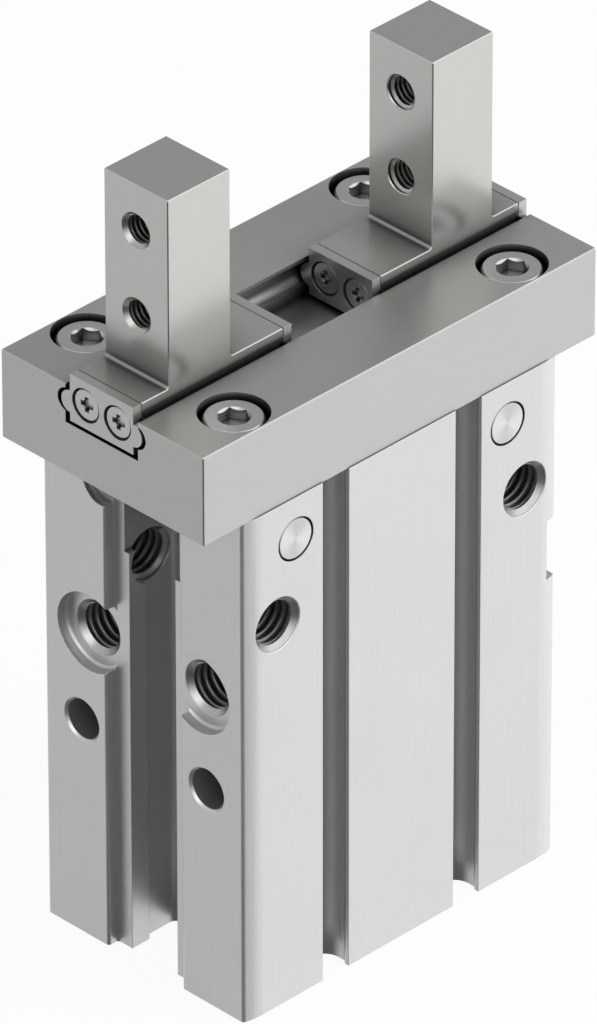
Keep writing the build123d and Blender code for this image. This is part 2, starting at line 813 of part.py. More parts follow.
pieces["cover_seal"] = cover_seal
with BuildPart() as retaining_ring:
    ring_outer = cover_radius + ring_groove_depth - ring_side_gap
    ring_inner = ring_outer - ring_width
    with BuildSketch(Plane.XY.offset(ring_low + ring_side_gap)):
        Circle(ring_outer)
        Circle(ring_inner, mode=Mode.SUBTRACT)
        with Locations((0, -ring_outer)):
            Rectangle(ring_opening, 2 * ring_width + ring_side_gap, mode=Mode.SUBTRACT)
        ear_out = (ring_opening + ring_ear_radius) / 2
        ear_spots = [(way * ear_out, ring_ear_radius - ring_inner) for way in (-1, 1)]
        with Locations(*ear_spots):
            Circle(ring_ear_radius)
            Circle(ring_ear_hole, mode=Mode.SUBTRACT)
    extrude(amount=ring_thickness)
pieces["retaining_ring"] = retaining_ring

os.makedirs("parts", exist_ok=True)
for label, piece in pieces.items():
    piece.part.label = label
    export_step(piece.part, f"parts/{label}.step")
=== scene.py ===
from math import ceil, pi, radians, sqrt, tau

import bpy
from mathutils import Matrix, Quaternion, Vector


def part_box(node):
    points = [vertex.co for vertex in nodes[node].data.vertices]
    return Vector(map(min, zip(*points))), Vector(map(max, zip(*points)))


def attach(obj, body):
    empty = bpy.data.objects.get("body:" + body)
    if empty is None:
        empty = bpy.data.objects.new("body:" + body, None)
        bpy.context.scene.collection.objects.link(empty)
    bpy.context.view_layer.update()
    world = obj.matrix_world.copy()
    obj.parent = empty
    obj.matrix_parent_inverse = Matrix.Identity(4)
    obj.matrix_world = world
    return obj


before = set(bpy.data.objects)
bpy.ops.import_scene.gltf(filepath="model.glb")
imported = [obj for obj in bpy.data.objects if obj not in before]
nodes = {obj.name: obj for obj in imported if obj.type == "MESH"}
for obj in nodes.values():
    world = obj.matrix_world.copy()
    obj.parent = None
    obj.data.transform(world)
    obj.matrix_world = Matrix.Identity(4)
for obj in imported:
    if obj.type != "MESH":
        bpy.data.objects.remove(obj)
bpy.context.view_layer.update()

bl_info = {
    "name": "Parallel gripper",
    "version": (1, 0, 0),
    "blender": (4, 5, 0),
    "location": "View3D > Sidebar > Gripper",
    "description": "Threads, finishes and studio of a parallel gripper",
    "category": "Object",
}

MM = 0.001

# A metric thread's ridge, as shares of its pitch.
RIDGE_HEIGHT = 0.5413
RIDGE_ROOT = 7 / 8
RIDGE_CREST = 1 / 4

# How deep a ridge is sunk in the wall of its hole, so no gap shows behind it.
BURIED = 0.03 * MM
# The straight part of a lead-in cone, and the thread's start below the cone.
CONE_RIM = 0.15 * MM
THREAD_START = 0.2 * MM
# A thread's start is turned to the top of its hole, where the rim hides it.
START_TURN = 0.75 * pi

MERGE_DISTANCE = 0.0001 * MM
SMOOTH_ANGLE = pi / 6
SHADE_SAMPLES = 6


class ThreadSizes(bpy.types.PropertyGroup):
    """Sizes of the tapped holes, as the housing and the jaws have them."""

    m8_radius: bpy.props.FloatProperty(
        name="M8 radius", description="Outer radius of the large threads", default=4.0 * MM,
        unit="LENGTH",
    )
    m8_pitch: bpy.props.FloatProperty(
        name="M8 pitch", description="Rise of the large threads in a turn", default=1.25 * MM,
        unit="LENGTH",
    )
    m5_radius: bpy.props.FloatProperty(
        name="M5 radius", description="Outer radius of the small threads", default=2.5 * MM,
        unit="LENGTH",
    )
    m5_pitch: bpy.props.FloatProperty(
        name="M5 pitch", description="Rise of the small threads in a turn", default=0.8 * MM,
        unit="LENGTH",
    )
    steps: bpy.props.IntProperty(
        name="Steps", description="Flats in one turn of a thread", default=40, min=12, max=96
    )


class FinishColours(bpy.types.PropertyGroup):
    """Base colours of the finishes."""

    anodised: bpy.props.FloatVectorProperty(
        name="Anodised housing", description="Clear anodised aluminium", default=(0.52, 0.52, 0.52),
        subtype="COLOR", min=0, max=1,
    )
    plate: bpy.props.FloatVectorProperty(
        name="Guide plate", description="Ground steel of the plate", default=(0.40, 0.395, 0.385),
        subtype="COLOR", min=0, max=1,
    )
    jaws: bpy.props.FloatVectorProperty(
        name="Jaws", description="Ground steel of the jaws", default=(0.44, 0.435, 0.42),
        subtype="COLOR", min=0, max=1,
    )
    screws: bpy.props.FloatVectorProperty(
        name="Screws", description="Dull zinc of the screws", default=(0.47, 0.47, 0.47),
        subtype="COLOR", min=0, max=1,
    )


class StudioSettings(bpy.types.PropertyGroup):
    """Strengths of the studio's lamps and its surroundings."""

    key_power: bpy.props.FloatProperty(
        name="Key", description="Power of the lamp that faces the broad side", default=31.0, unit="POWER"
    )
    fill_power: bpy.props.FloatProperty(
        name="Fill", description="Power of the lamp that faces the end", default=2.5, unit="POWER"
    )
    top_power: bpy.props.FloatProperty(
        name="Top", description="Power of the lamp overhead", default=1.0, unit="POWER"
    )
    ambient: bpy.props.FloatProperty(
        name="Ambient", description="Strength of the surroundings' soft light", default=0.40,
        min=0, max=2,
    )
    ceiling: bpy.props.FloatProperty(
        name="Ceiling", description="Brightness of the ceiling that metal mirrors", default=0.5,
        min=0, max=1,
    )
    softbox: bpy.props.FloatProperty(
        name="Softbox", description="Brightness above the horizon at the front and the ends",
        default=1.85, min=0, max=4,
    )
    side: bpy.props.FloatProperty(
        name="Side", description="Brightness of the floor that the broad side mirrors",
        default=1.46, min=0, max=4,
    )
    front: bpy.props.FloatProperty(
        name="Front", description="Brightness of the floor that the near corner mirrors",
        default=0.07, min=0, max=1,
    )


def deselect_all():
    """Nothing is selected afterwards, and no object is in edit mode."""
    if bpy.context.object and bpy.context.object.mode != "OBJECT":
        bpy.ops.object.mode_set(mode="OBJECT")
    bpy.ops.object.select_all(action="DESELECT")


def select_only(*objects):
    """The given objects are selected, and the first is active."""
    deselect_all()
    for each in objects:
        each.select_set(True)
    bpy.context.view_layer.objects.active = objects[0]


def select_vertices(piece, test):
    """In edit mode, only the vertices whose place passes the test are selected."""
    bpy.ops.object.mode_set(mode="OBJECT")
    for edge in piece.data.edges:
        edge.select = False
    for face in piece.data.polygons:
        face.select = False
    for vertex in piece.data.vertices:
        vertex.select = test(vertex.co)
    bpy.ops.object.mode_set(mode="EDIT")
    bpy.ops.mesh.select_mode(type="VERT")


def apply_modifiers(piece):
    """Every modifier of the piece goes into its mesh."""
    select_only(piece)
    for modifier in list(piece.modifiers):
        bpy.ops.object.modifier_apply(modifier=modifier.name)


def put_place_in_mesh(piece):
    """The piece's object goes to the origin, unturned and unscaled."""
    select_only(piece)
    bpy.ops.object.transform_apply(location=True, rotation=True, scale=True)


def join_pieces(pieces, name):
    """The pieces become one object of the given name."""
    select_only(*pieces)
    if len(pieces) > 1:
        bpy.ops.object.join()
    joined = bpy.context.object
    joined.name = name
    joined.data.name = name
    return joined


def flat_profile(width, height, middle):
    """A rectangle in the XZ plane."""
    deselect_all()
    bpy.ops.mesh.primitive_plane_add(size=1, location=middle, rotation=(pi / 2, 0, 0))
    profile = bpy.context.object
    profile.scale = (width, height, 1)
    put_place_in_mesh(profile)
    return profile


def turn_profile(profile, steps, rise=0.0, turns=1):
    """The outline that is being edited, turned about Z into a closed ring or ridge."""
    bpy.ops.mesh.select_all(action="SELECT")
    bpy.ops.mesh.delete(type="ONLY_FACE")
    bpy.ops.object.mode_set(mode="OBJECT")
    screw = profile.modifiers.new("Screw", "SCREW")
    screw.axis = "Z"
    screw.angle = tau
    screw.screw_offset = rise
    screw.iterations = turns
    screw.steps = steps
    screw.render_steps = steps
    apply_modifiers(profile)
    bpy.ops.object.mode_set(mode="EDIT")
    bpy.ops.mesh.select_all(action="SELECT")
    bpy.ops.mesh.remove_doubles(threshold=MERGE_DISTANCE)
    bpy.ops.mesh.fill_holes(sides=4)
    bpy.ops.mesh.select_all(action="SELECT")
    bpy.ops.mesh.normals_make_consistent(inside=False)
    bpy.ops.object.mode_set(mode="OBJECT")
    select_only(profile)
    bpy.ops.object.shade_smooth_by_angle(angle=SMOOTH_ANGLE)
    return profile


def thread_ridge(radius, pitch, length, steps):
    """The ridge of a tapped hole's thread about Z, from the origin up to the length."""
    height = RIDGE_HEIGHT * pitch + BURIED
    root, crest = RIDGE_ROOT * pitch, RIDGE_CREST * pitch
    middle = (radius + BURIED - height / 2, 0, root / 2)
    ridge = flat_profile(height, root, middle)
    select_vertices(ridge, lambda place: place.x < middle[0])
    bpy.ops.transform.resize(value=(1, 1, crest / root), center_override=middle)
    return turn_profile(ridge, steps, pitch, max(1, ceil(length / pitch) - 1))


def lead_cone(radius, pitch, steps):
    """The cone that leads into a tapped hole, about Z, with its wide rim at the origin."""
    width = RIDGE_HEIGHT * pitch + BURIED
    height = width + CONE_RIM
    cone = flat_profile(width, height, (radius + BURIED - width / 2, 0, -height / 2))
    select_vertices(cone, lambda place: place.x < radius - width / 2 and place.z > -CONE_RIM)
    bpy.ops.transform.translate(value=(0, 0, -width))
    return turn_profile(cone, steps)


def stand_in_hole(piece, place, way_out):
    """The piece goes to its place with its Z along the way out of the hole and its start at the top."""
    piece.rotation_mode = "QUATERNION"
    upright = Quaternion((0, 0, 1), START_TURN)
    piece.rotation_quaternion = Vector(way_out).to_track_quat("Z", "Y") @ upright
    piece.location = place
    put_place_in_mesh(piece)
    return piece


def cones_in(name, holes, radius, pitch, steps, body, slot):
    """One piece with the lead-in cone of every hole, each given as (mouth, way out, length)."""
    cones = [
        stand_in_hole(lead_cone(radius, pitch, steps), Vector(mouth), way_out)
        for mouth, way_out, length in holes
    ]
    joined = join_pieces(cones, name)
    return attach(joined, body)


def threads_in(name, holes, radius, pitch, steps, body, slot):
    """One piece with the thread of every hole, each given as (mouth, way out, length)."""
    ridges = []
    start = RIDGE_HEIGHT * pitch + THREAD_START
    for mouth, way_out, length in holes:
        ridge = thread_ridge(radius, pitch, length - start, steps)
        ridges.append(stand_in_hole(ridge, Vector(mouth) - Vector(way_out) * length, way_out))
    threads = join_pieces(ridges, name)
    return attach(threads, body)


def new_group(name, inputs, outputs):
    """A shader node group with the named sockets, each (name, socket type, default)."""
    group = bpy.data.node_groups.new(name, "ShaderNodeTree")
    for label, kind, default in inputs:
        socket = group.interface.new_socket(name=label, in_out="INPUT", socket_type=kind)
        if default is not None:
            socket.default_value = default
    for label, kind in outputs:
        group.interface.new_socket(name=label, in_out="OUTPUT", socket_type=kind)
    return group, group.nodes.new("NodeGroupInput"), group.nodes.new("NodeGroupOutput")


def math_node(tree, operation, *values):
    """A Math node whose inputs are numbers or other nodes' sockets."""
    node = tree.nodes.new("ShaderNodeMath")
    node.operation = operation
    for socket, value in zip(node.inputs, values):
        if isinstance(value, (int, float)):
            socket.default_value = value
        else:
            tree.links.new(value, socket)
    return node.outputs[0]


def grain_group():
    """Lines that grinding, drawing or brushing leaves, as a value from 0 to 1."""
    group, source, result = new_group(
        "Drawn Grain",
        (("Vector", "NodeSocketVector", None), ("Stretch", "NodeSocketVector", (1, 1, 1)),
         ("Scale", "NodeSocketFloat", 1000.0), ("Contrast", "NodeSocketFloat", 1.0)),
        (("Value", "NodeSocketFloat"),),
    )
    stretch = group.nodes.new("ShaderNodeVectorMath")
    stretch.operation = "MULTIPLY"
    group.links.new(source.outputs["Vector"], stretch.inputs[0])
    group.links.new(source.outputs["Stretch"], stretch.inputs[1])
    noise = group.nodes.new("ShaderNodeTexNoise")
    noise.inputs["Detail"].default_value = 4
    noise.inputs["Roughness"].default_value = 0.65
    group.links.new(stretch.outputs[0], noise.inputs["Vector"])
    group.links.new(source.outputs["Scale"], noise.inputs["Scale"])
    centred = math_node(group, "SUBTRACT", noise.outputs[0], 0.5)
    spread = math_node(group, "MULTIPLY", centred, source.outputs["Contrast"])
    group.links.new(math_node(group, "ADD", spread, 0.5), result.inputs["Value"])
    return group


def edge_group():
    """A softened normal at the edges, and a mask that is 1 on them."""
    group, source, result = new_group(
        "Soft Edges",
        (("Radius", "NodeSocketFloat", 0.1 * MM), ("Amount", "NodeSocketFloat", 1.0)),
        (("Mask", "NodeSocketFloat"), ("Normal", "NodeSocketVector")),
    )
    bevel = group.nodes.new("ShaderNodeBevel")
    bevel.samples = SHADE_SAMPLES
    group.links.new(source.outputs["Radius"], bevel.inputs["Radius"])
    geometry = group.nodes.new("ShaderNodeNewGeometry")
    dot = group.nodes.new("ShaderNodeVectorMath")
    dot.operation = "DOT_PRODUCT"
    group.links.new(bevel.outputs[0], dot.inputs[0])
    group.links.new(geometry.outputs["Normal"], dot.inputs[1])
    bent = math_node(group, "SUBTRACT", 1.0, dot.outputs["Value"])
    bend_gain = 5.0
    strong = math_node(group, "MULTIPLY", bent, bend_gain)
    amount = math_node(group, "MULTIPLY", strong, source.outputs["Amount"])
    capped = math_node(group, "MINIMUM", amount, 1.0)
    group.links.new(math_node(group, "MAXIMUM", capped, 0.0), result.inputs["Mask"])
    group.links.new(bevel.outputs[0], result.inputs["Normal"])
    return group


def painted_crevice_shade_group(own):
    """How open a place is by ambient occlusion, 1 in the open and less in gaps, slots and holes, for
    painted shade in the base colour; own counts one piece only.
    """
    group, source, result = new_group(
        "Own Painted Crevice Shade" if own else "Painted Crevice Shade",
        (("Distance", "NodeSocketFloat", 6 * MM), ("Power", "NodeSocketFloat", 1.0),
         ("Floor", "NodeSocketFloat", 0.1)),
        (("Value", "NodeSocketFloat"),),
    )
    painted_shade = group.nodes.new("ShaderNodeAmbientOcclusion")
    painted_shade.samples = SHADE_SAMPLES
    painted_shade.only_local = own
    group.links.new(source.outputs["Distance"], painted_shade.inputs["Distance"])
    curve = math_node(group, "POWER", painted_shade.outputs["AO"], source.outputs["Power"])
    spread = group.nodes.new("ShaderNodeMapRange")
    group.links.new(curve, spread.inputs["Value"])
    group.links.new(source.outputs["Floor"], spread.inputs["To Min"])
    group.links.new(spread.outputs[0], result.inputs["Value"])
    return group


def rings_group():
    """Rings that a lathe leaves round a line along Y, as a value from 0 to 1."""
    group, source, result = new_group(
        "Turned Rings",
        (("Vector", "NodeSocketVector", None), ("Spacing", "NodeSocketFloat", 0.15 * MM)),
        (("Value", "NodeSocketFloat"),),
    )
    flatten = group.nodes.new("ShaderNodeVectorMath")
    flatten.operation = "MULTIPLY"
    flatten.inputs[1].default_value = (1, 0, 1)
    group.links.new(source.outputs["Vector"], flatten.inputs[0])
    reach = group.nodes.new("ShaderNodeVectorMath")
    reach.operation = "LENGTH"
    group.links.new(flatten.outputs[0], reach.inputs[0])
    turns = math_node(group, "DIVIDE", reach.outputs["Value"], source.outputs["Spacing"])
    wave = math_node(group, "SINE", math_node(group, "MULTIPLY", turns, tau))
    half = math_node(group, "MULTIPLY", wave, 0.5)
    group.links.new(math_node(group, "ADD", half, 0.5), result.inputs["Value"])
    return group


def mottle_group():
    """Broad soft patches, as of handling and oil, as a value from 0 to 1."""
    group, source, result = new_group(
        "Handled Patches",
        (("Vector", "NodeSocketVector", None), ("Scale", "NodeSocketFloat", 60.0)),
        (("Value", "NodeSocketFloat"),),
    )
    noise = group.nodes.new("ShaderNodeTexNoise")
    noise.inputs["Detail"].default_value = 5
    noise.inputs["Roughness"].default_value = 0.55
    noise.inputs["Distortion"].default_value = 0.4
    group.links.new(source.outputs["Vector"], noise.inputs["Vector"])
    group.links.new(source.outputs["Scale"], noise.inputs["Scale"])
    group.links.new(noise.outputs[0], result.inputs["Value"])
    return group


GROUPS = {}


def shared(name):
    """The shared node group of that name, made when it is first asked for."""
    makers = {
        "grain": grain_group, "edge": edge_group, "rings": rings_group, "mottle": mottle_group,
        "painted_crevice_shade": lambda: painted_crevice_shade_group(False), "own_painted_crevice_shade": lambda: painted_crevice_shade_group(True),
    }
    if name not in GROUPS:
        GROUPS[name] = makers[name]()
    return GROUPS[name]


def group_node(tree, name, **values):
    """A node of the shared group, its inputs set from numbers, vectors or sockets."""
    node = tree.nodes.new("ShaderNodeGroup")
    node.node_tree = shared(name)
    for label, value in values.items():
        if isinstance(value, bpy.types.NodeSocket):
            tree.links.new(value, node.inputs[label])
        else:
            node.inputs[label].default_value = value
    return node


def range_of(tree, value, low, high):
    """The value spread from 0..1 to low..high."""
    node = tree.nodes.new("ShaderNodeMapRange")
    node.clamp = False
    tree.links.new(value, node.inputs["Value"])
    node.inputs["To Min"].default_value = low
    node.inputs["To Max"].default_value = high
    return node.outputs[0]


def mix_colour(tree, factor, first, second):
    """A mix of two colours, each a colour or a socket."""
    node = tree.nodes.new("ShaderNodeMix")
    node.data_type = "RGBA"
    colour_a, colour_b, colour_out = node.inputs[6], node.inputs[7], node.outputs[2]
    tree.links.new(factor, node.inputs[0])
    for socket, value in ((colour_a, first), (colour_b, second)):
        if isinstance(value, bpy.types.NodeSocket):
            tree.links.new(value, socket)
        else:
            socket.default_value = (*value, 1)
    return colour_out


def shade(colour, factor):
    """The colour made lighter or darker by the factor."""
    return tuple(min(1, part * factor) for part in colour)


def finish(name, colour, metallic=0.0, rough=0.4, rough_spread=0.08, stretch=(1, 1, 1), scale=1500.0,
           tone=0.08, patch=0.05, patch_scale=60.0, bump=0.02, edge=0.12, wear=0.3, wear_tone=1.35,
           rings=None, centre=(0, 0, 0), coat=0.0, specular=0.5, painted_crevice_shade="painted_crevice_shade", reach=5.0,
           depth=1.0, shade_floor=0.06, gap=1.0, turned=0.0):
    """A finish with grain, patches, soft and worn edges and painted shade in crevices; rings adds lathe
    marks.
    """
    material = bpy.data.materials.new(name)
    material.use_nodes = True
    tree = material.node_tree
    shader = next(node for node in tree.nodes if node.type == "BSDF_PRINCIPLED")
    shader.inputs["Metallic"].default_value = metallic
    shader.inputs["Coat Weight"].default_value = coat
    shader.inputs["Specular IOR Level"].default_value = specular
    place = tree.nodes.new("ShaderNodeTexCoord")
    centred = tree.nodes.new("ShaderNodeMapping")
    centred.inputs["Location"].default_value = [-part for part in centre]
    tree.links.new(place.outputs["Object"], centred.inputs["Vector"])
    where = centred.outputs["Vector"]
    contrast, fine_power = 1.6, 1.4
    grain = group_node(tree, "grain", Vector=where, Stretch=stretch, Scale=scale, Contrast=contrast)
    marks = grain.outputs["Value"]
    if rings:
        lathe = group_node(tree, "rings", Vector=where, Spacing=rings)
        marks = math_node(tree, "MULTIPLY", marks, lathe.outputs["Value"])
    if turned:
        round_axis = tree.nodes.new("ShaderNodeTangent")
        round_axis.direction_type = "RADIAL"
        round_axis.axis = "Y"
        tree.links.new(round_axis.outputs[0], shader.inputs["Tangent"])
        shader.inputs["Anisotropic"].default_value = turned
    patches = group_node(tree, "mottle", Vector=where, Scale=patch_scale).outputs["Value"]
    edges = group_node(tree, "edge", Radius=edge * MM, Amount=wear)
    grained = mix_colour(tree, marks, shade(colour, 1 - tone), shade(colour, 1 + tone))
    handled = range_of(tree, patches, 0, patch * 4)
    patched = mix_colour(tree, handled, grained, shade(colour, 1 - patch * 3))
    worn = mix_colour(tree, edges.outputs["Mask"], patched, shade(colour, wear_tone))
    # Painted shade: ambient occlusion mixes the base colour towards black in gaps, slots and holes,
    # broadly within reach and finely within gap.
    broad = group_node(tree, painted_crevice_shade, Distance=reach * MM, Power=depth, Floor=shade_floor).outputs["Value"]
    fine = group_node(tree, "painted_crevice_shade", Distance=gap * MM, Power=fine_power, Floor=0.0).outputs["Value"]
    painted_shade = math_node(tree, "MULTIPLY", broad, fine)
    tree.links.new(mix_colour(tree, painted_shade, (0, 0, 0), worn), shader.inputs["Base Color"])
    both = math_node(tree, "ADD", marks, patches)
    mean = math_node(tree, "MULTIPLY", both, 0.5)
    gloss = range_of(tree, mean, rough - rough_spread, rough + rough_spread)
    tree.links.new(gloss, shader.inputs["Roughness"])
    relief = tree.nodes.new("ShaderNodeBump")
    relief.inputs["Strength"].default_value = 1.0
    relief.inputs["Distance"].default_value = bump * MM
    tree.links.new(marks, relief.inputs["Height"])
    tree.links.new(edges.outputs["Normal"], relief.inputs["Normal"])
    tree.links.new(relief.outputs["Normal"], shader.inputs["Normal"])
    return material


def dress(material, *pieces):
    """The material is the only one on each piece."""
    for piece in pieces:
        piece.data.materials.clear()
        piece.data.materials.append(material)


def both_hands(name):
    """The left and the right CAD node of that name."""
    return nodes[f"{name}_left"], nodes[f"{name}_right"]


class GRIPPER_OT_housing_threads(bpy.types.Operator):
    """Cut the threads of the housing's tapped holes"""

    bl_idname = "gripper.housing_threads"
    bl_label = "Housing threads"

    def execute(self, context):
        sizes = context.scene.gripper_threads
        colours = context.scene.gripper_colours
        end_mouth, end_length = 27.65 * MM, 11.3 * MM
        sleeve_end = (-1, 10.3 * MM, 49.0 * MM)
        keyway_end = (1, 11.0 * MM, 49.2 * MM)
        end_holes = [
            ((side * end_mouth, way * across, height), (side, 0, 0), end_length)
            for side, across, height in (sleeve_end, keyway_end) for way in (-1, 1)
        ]
        corners = [(side, way) for side in (-1, 1) for way in (-1, 1)]
        cross_x, cross_y, cross_z, cross_length = 23.3 * MM, 18.9 * MM, 61.05 * MM, 13.6 * MM
        cross_holes = [
            ((side * cross_x, way * cross_y, cross_z), (0, way, 0), cross_length) for side, way in corners
        ]
        base_x, base_y, base_z, base_length = 24.0 * MM, 14.0 * MM, 0.2 * MM, 9.6 * MM
        base_holes = [
            ((side * base_x, way * base_y, base_z), (0, 0, -1), base_length) for side, way in corners
        ]
        port_x, port_y, port_length = 27.9 * MM, 8.0 * MM, 4.8 * MM
        upper_port, lower_port = (-1, 73.5 * MM), (1, 10.2 * MM)
        port_holes = [
            ((side * port_x, port_y, height), (side, 0, 0), port_length)
            for side, height in (upper_port, lower_port)
        ]
        large = (sizes.m8_radius, sizes.m8_pitch, sizes.steps, "base", "housing_aluminium")
        small = (sizes.m5_radius, sizes.m5_pitch, sizes.steps, "base", "housing_aluminium")
        pieces = [
            threads_in("end_threads", end_holes, *large),
            threads_in("cross_threads", cross_holes, *large),
            threads_in("base_threads", base_holes, *small),
            threads_in("port_threads", port_holes, *small),
        ]
        cones = [
            cones_in("end_cones", end_holes, *large),
            cones_in("cross_cones", cross_holes, *large),
            cones_in("base_cones", base_holes, *small),
            cones_in("port_cones", port_holes, *small),
        ]
        cut = finish("Cut aluminium thread", colours.anodised, metallic=0.8, rough=0.3, scale=3000,
                     bump=0.001, edge=0.04, reach=7.0, depth=0.9, shade_floor=0.02, gap=0.3)
        dress(cut, *pieces)
        bright = finish("Cut aluminium cone", shade(colours.anodised, 0.75), metallic=0.85,
                        rough=0.32, rough_spread=0.02, scale=3000, bump=0.0008, edge=0.04,
                        reach=3.0, depth=0.3, gap=0.2)
        dress(bright, *cones)
        return {"FINISHED"}


class GRIPPER_OT_finger_threads(bpy.types.Operator):
    """Cut the threads of the holes in the finger blocks"""

    bl_idname = "gripper.finger_threads"
    bl_label = "Finger threads"

    def execute(self, context):
        sizes = context.scene.gripper_threads
        steel = context.scene.gripper_colours.jaws
        cut = finish("Cut steel thread", steel, metallic=0.9, rough=0.3, scale=3000, bump=0.001,
                     edge=0.04, reach=5.0, depth=0.8, shade_floor=0.02, gap=0.2)
        bright = finish("Cut steel cone", shade(steel, 0.85), metallic=0.9, rough=0.3,
                        rough_spread=0.02, scale=3000, bump=0.0008, edge=0.04, reach=2.0, depth=0.3,
                        gap=0.2)
        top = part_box("jaw_left")[1].z
        outer_face, hole_length = 30.1 * MM, 11.2 * MM
        drops = (7.05 * MM, 20.1 * MM)
        for hand, side in (("left", -1), ("right", 1)):
            holes = [((side * outer_face, 0, top - drop), (side, 0, 0), hole_length) for drop in drops]
            settings = (sizes.m5_radius, sizes.m5_pitch, sizes.steps, f"{hand}_jaw", "jaw_steel")
            dress(cut, threads_in(f"finger_threads_{hand}", holes, *settings))
            dress(bright, cones_in(f"finger_cones_{hand}", holes, *settings))
        return {"FINISHED"}


class GRIPPER_OT_housing_finish(bpy.types.Operator):
    """Give the housing and its base cover their anodised finish"""

    bl_idname = "gripper.housing_finish"
    bl_label = "Housing finish"

    def execute(self, context):
        colour = context.scene.gripper_colours.anodised
        # The housing's broad painted shade counts only the housing itself, so the floor paints none on
        # it.
        drawn = finish("Anodised extrusion", colour, metallic=0.8, rough=0.36,
                       stretch=(1, 1, 0.012), scale=4500, tone=0.06, patch=0.02, bump=0.012,
                       edge=0.15, wear=0.1, wear_tone=1.2, painted_crevice_shade="own_painted_crevice_shade",
                       reach=7.0, depth=0.14, shade_floor=0.05, gap=0.6)
        dress(drawn, nodes["housing"])
        cover = finish("Anodised cover", colour, metallic=0.5, rough=0.4, scale=2500, edge=0.1,
                       painted_crevice_shade="own_painted_crevice_shade")
        dress(cover, nodes["bottom_cover"])
        return {"FINISHED"}


class GRIPPER_OT_steel_finish(bpy.types.Operator):
    """Give the plate, the jaws and their caps their ground steel finish"""

    bl_idname = "gripper.steel_finish"
    bl_label = "Plate and jaw finish"

    def execute(self, context):
        colours = context.scene.gripper_colours
        plate = finish("Ground plate", colours.plate, metallic=0.8, rough=0.32, rough_spread=0.02,
                       stretch=(0.05, 1, 1), scale=3600, tone=0.03, patch=0.03, bump=0.0012,
                       edge=0.06, wear=0.1, wear_tone=1.2, reach=5.5, depth=0.95, shade_floor=0.02, gap=1.6)
        dress(plate, nodes["guide_plate"])
        jaw = finish("Ground jaw", colours.jaws, metallic=0.88, rough=0.24, rough_spread=0.015,
                     stretch=(1, 1, 0.05), scale=3600, tone=0.025, patch=0.03, bump=0.0008,
                     edge=0.06, wear=0.1, wear_tone=1.2, reach=8.0, depth=1.1, shade_floor=0.02, gap=1.6)
        dress(jaw, *both_hands("jaw"))
        cap = finish("Stamped cap", shade(colours.jaws, 0.97), metallic=0.85, rough=0.3,
                     rough_spread=0.02, scale=2200, tone=0.04, bump=0.0015, edge=0.06, wear=0.2,
                     reach=2.5, depth=0.45, shade_floor=0.03, gap=0.16)
        dress(cap, *both_hands("inner_cap"), *both_hands("outer_cap"))
        return {"FINISHED"}


class GRIPPER_OT_fastener_finish(bpy.types.Operator):
    """Give the screws, pins and the spring ring their finishes"""

    bl_idname = "gripper.fastener_finish"
    bl_label = "Fastener finish"

    def execute(self, context):
        colour = context.scene.gripper_colours.screws
        dull = finish("Dull screw", colour, metallic=0.88, rough=0.27, rough_spread=0.01,
                      scale=2500, tone=0.03, bump=0.0002, edge=0.06, wear=0.05, wear_tone=1.3,
                      painted_crevice_shade="own_painted_crevice_shade", reach=2.6, depth=1.1, gap=0.2)
        dress(dull, nodes["plate_screws"], nodes["piston_screw"])
        bright = finish("Bright cap screw", shade(colour, 0.95), metallic=0.88, rough=0.3,
                        rough_spread=0.02, scale=2500, tone=0.05, bump=0.0003, edge=0.08, wear=0.3,
                        painted_crevice_shade="own_painted_crevice_shade", reach=0.9, depth=1.7, gap=0.2)
        dress(bright, *both_hands("cap_screws"))
        dress(finish("Ground dowel", (0.6, 0.6, 0.6), metallic=0.95, rough=0.25, scale=3000),
              nodes["plate_dowels"])
        for hand in ("left", "right"):
            pin = nodes[f"pivot_pin_{hand}"]
            low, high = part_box(f"pivot_pin_{hand}")
            turned = finish(f"Turned pin {hand}", (0.59, 0.59, 0.58), metallic=0.95, rough=0.3,
                            rings=0.24 * MM, centre=(low + high) / 2, tone=0.12, bump=0.003,
                            scale=1800, turned=0.9, reach=1.5, gap=0.15)
            dress(turned, pin)
        dress(finish("Phosphated ring", (0.2, 0.2, 0.2), metallic=0.6, rough=0.5, scale=3000),
              nodes["retaining_ring"])
        return {"FINISHED"}


class GRIPPER_OT_drive_finish(bpy.types.Operator):
    """Give the levers, the rod, the piston and the bush their finishes"""

    bl_idname = "gripper.drive_finish"
    bl_label = "Drive finish"

    def execute(self, context):
        dress(finish("Oiled lever", (0.4, 0.4, 0.4), metallic=0.85, rough=0.35, scale=1800,
                     tone=0.1), *both_hands("lever"))
        dress(finish("Turned head", (0.45, 0.45, 0.45), metallic=0.85, rough=0.32,
                     stretch=(0.1, 0.1, 1), scale=3500), nodes["driving_head"])
        dress(finish("Chromed rod", (0.72, 0.72, 0.73), metallic=1.0, rough=0.1, rough_spread=0.03,
                     scale=2000, tone=0.02, bump=0.001), nodes["piston_rod"])
        dress(finish("Turned piston", (0.68, 0.68, 0.69), metallic=0.9, rough=0.3,
                     stretch=(0.1, 0.1, 1),
                     scale=3500), nodes["piston_upper"], nodes["piston_lower"])
        dress(finish("Oiled bush", (0.55, 0.4, 0.2), metallic=0.8, rough=0.4, scale=4000,
                     tone=0.15), nodes["rod_bush"])
        return {"FINISHED"}


